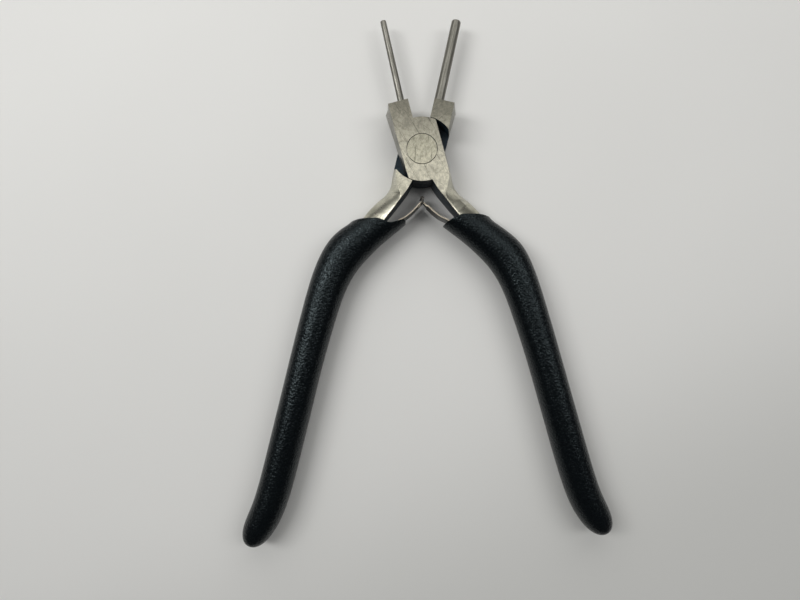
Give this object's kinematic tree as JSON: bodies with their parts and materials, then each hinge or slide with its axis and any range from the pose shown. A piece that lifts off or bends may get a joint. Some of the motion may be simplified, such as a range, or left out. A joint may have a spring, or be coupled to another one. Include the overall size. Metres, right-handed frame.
{
  "type": "round nose pliers",
  "caption": "Spring-opened lap-joint jewellery pliers with straight round mandrel jaws, one thin and one thick, and soft plastic grips.",
  "frame": {"origin": "on the pivot rivet's axis, in the plane of the head's back face", "axes": "+Z along the pivot axis, out of the front face; +Y along the middle line, towards the jaw tips; +X towards the front lever's handle"},
  "size_m": [0.1054, 0.1493, 0.0105],
  "materials": {
    "ground_steel": "satin ground face, warm grey, with dark oxidised inner walls",
    "rod_steel": "satin turned",
    "rivet_steel": "ground flush, fine scratches",
    "spring_steel": "tempered spring steel, straw-coloured edges",
    "black_soft_plastic": "black soft vinyl with a fine leather-like pebble"
  },
  "bodies": {
    "back_half": {"back_lever": "ground_steel", "thick_jaw_pin": "rod_steel", "pivot_rivet": "rivet_steel", "left_grip": "black_soft_plastic", "left_spring_rivet": "rivet_steel"},
    "front_half": {"front_lever": "ground_steel", "thin_jaw_pin": "rod_steel", "right_grip": "black_soft_plastic", "right_spring_rivet": "rivet_steel"},
    "left_leaf": {"left_spring_leaf": "spring_steel"},
    "right_leaf": {"right_spring_leaf": "spring_steel"}
  },
  "joints": [
    {"name": "main_pivot", "type": "hinge", "parent": "back_half", "child": "front_half", "pos_m": [0, 0, 0.00525], "axis": [0, 0, -1], "range_deg": [0, 27.5], "stiffness_Nm_per_rad": 0.8},
    {"name": "left_leaf_flex", "type": "hinge", "parent": "back_half", "child": "left_leaf", "pos_m": [-0.01443, -0.0253, 0.00525], "axis": [0, 0, 1], "range_deg": [0, 12.8]},
    {"name": "right_leaf_flex", "type": "hinge", "parent": "front_half", "child": "right_leaf", "pos_m": [0.01443, -0.0253, 0.00525], "axis": [0, 0, -1], "range_deg": [0, 12.8]}
  ],
  "couplings": [
    {"joint": "left_leaf_flex", "follows": "main_pivot", "ratio": 0.461},
    {"joint": "right_leaf_flex", "follows": "main_pivot", "ratio": 0.461}
  ]
}
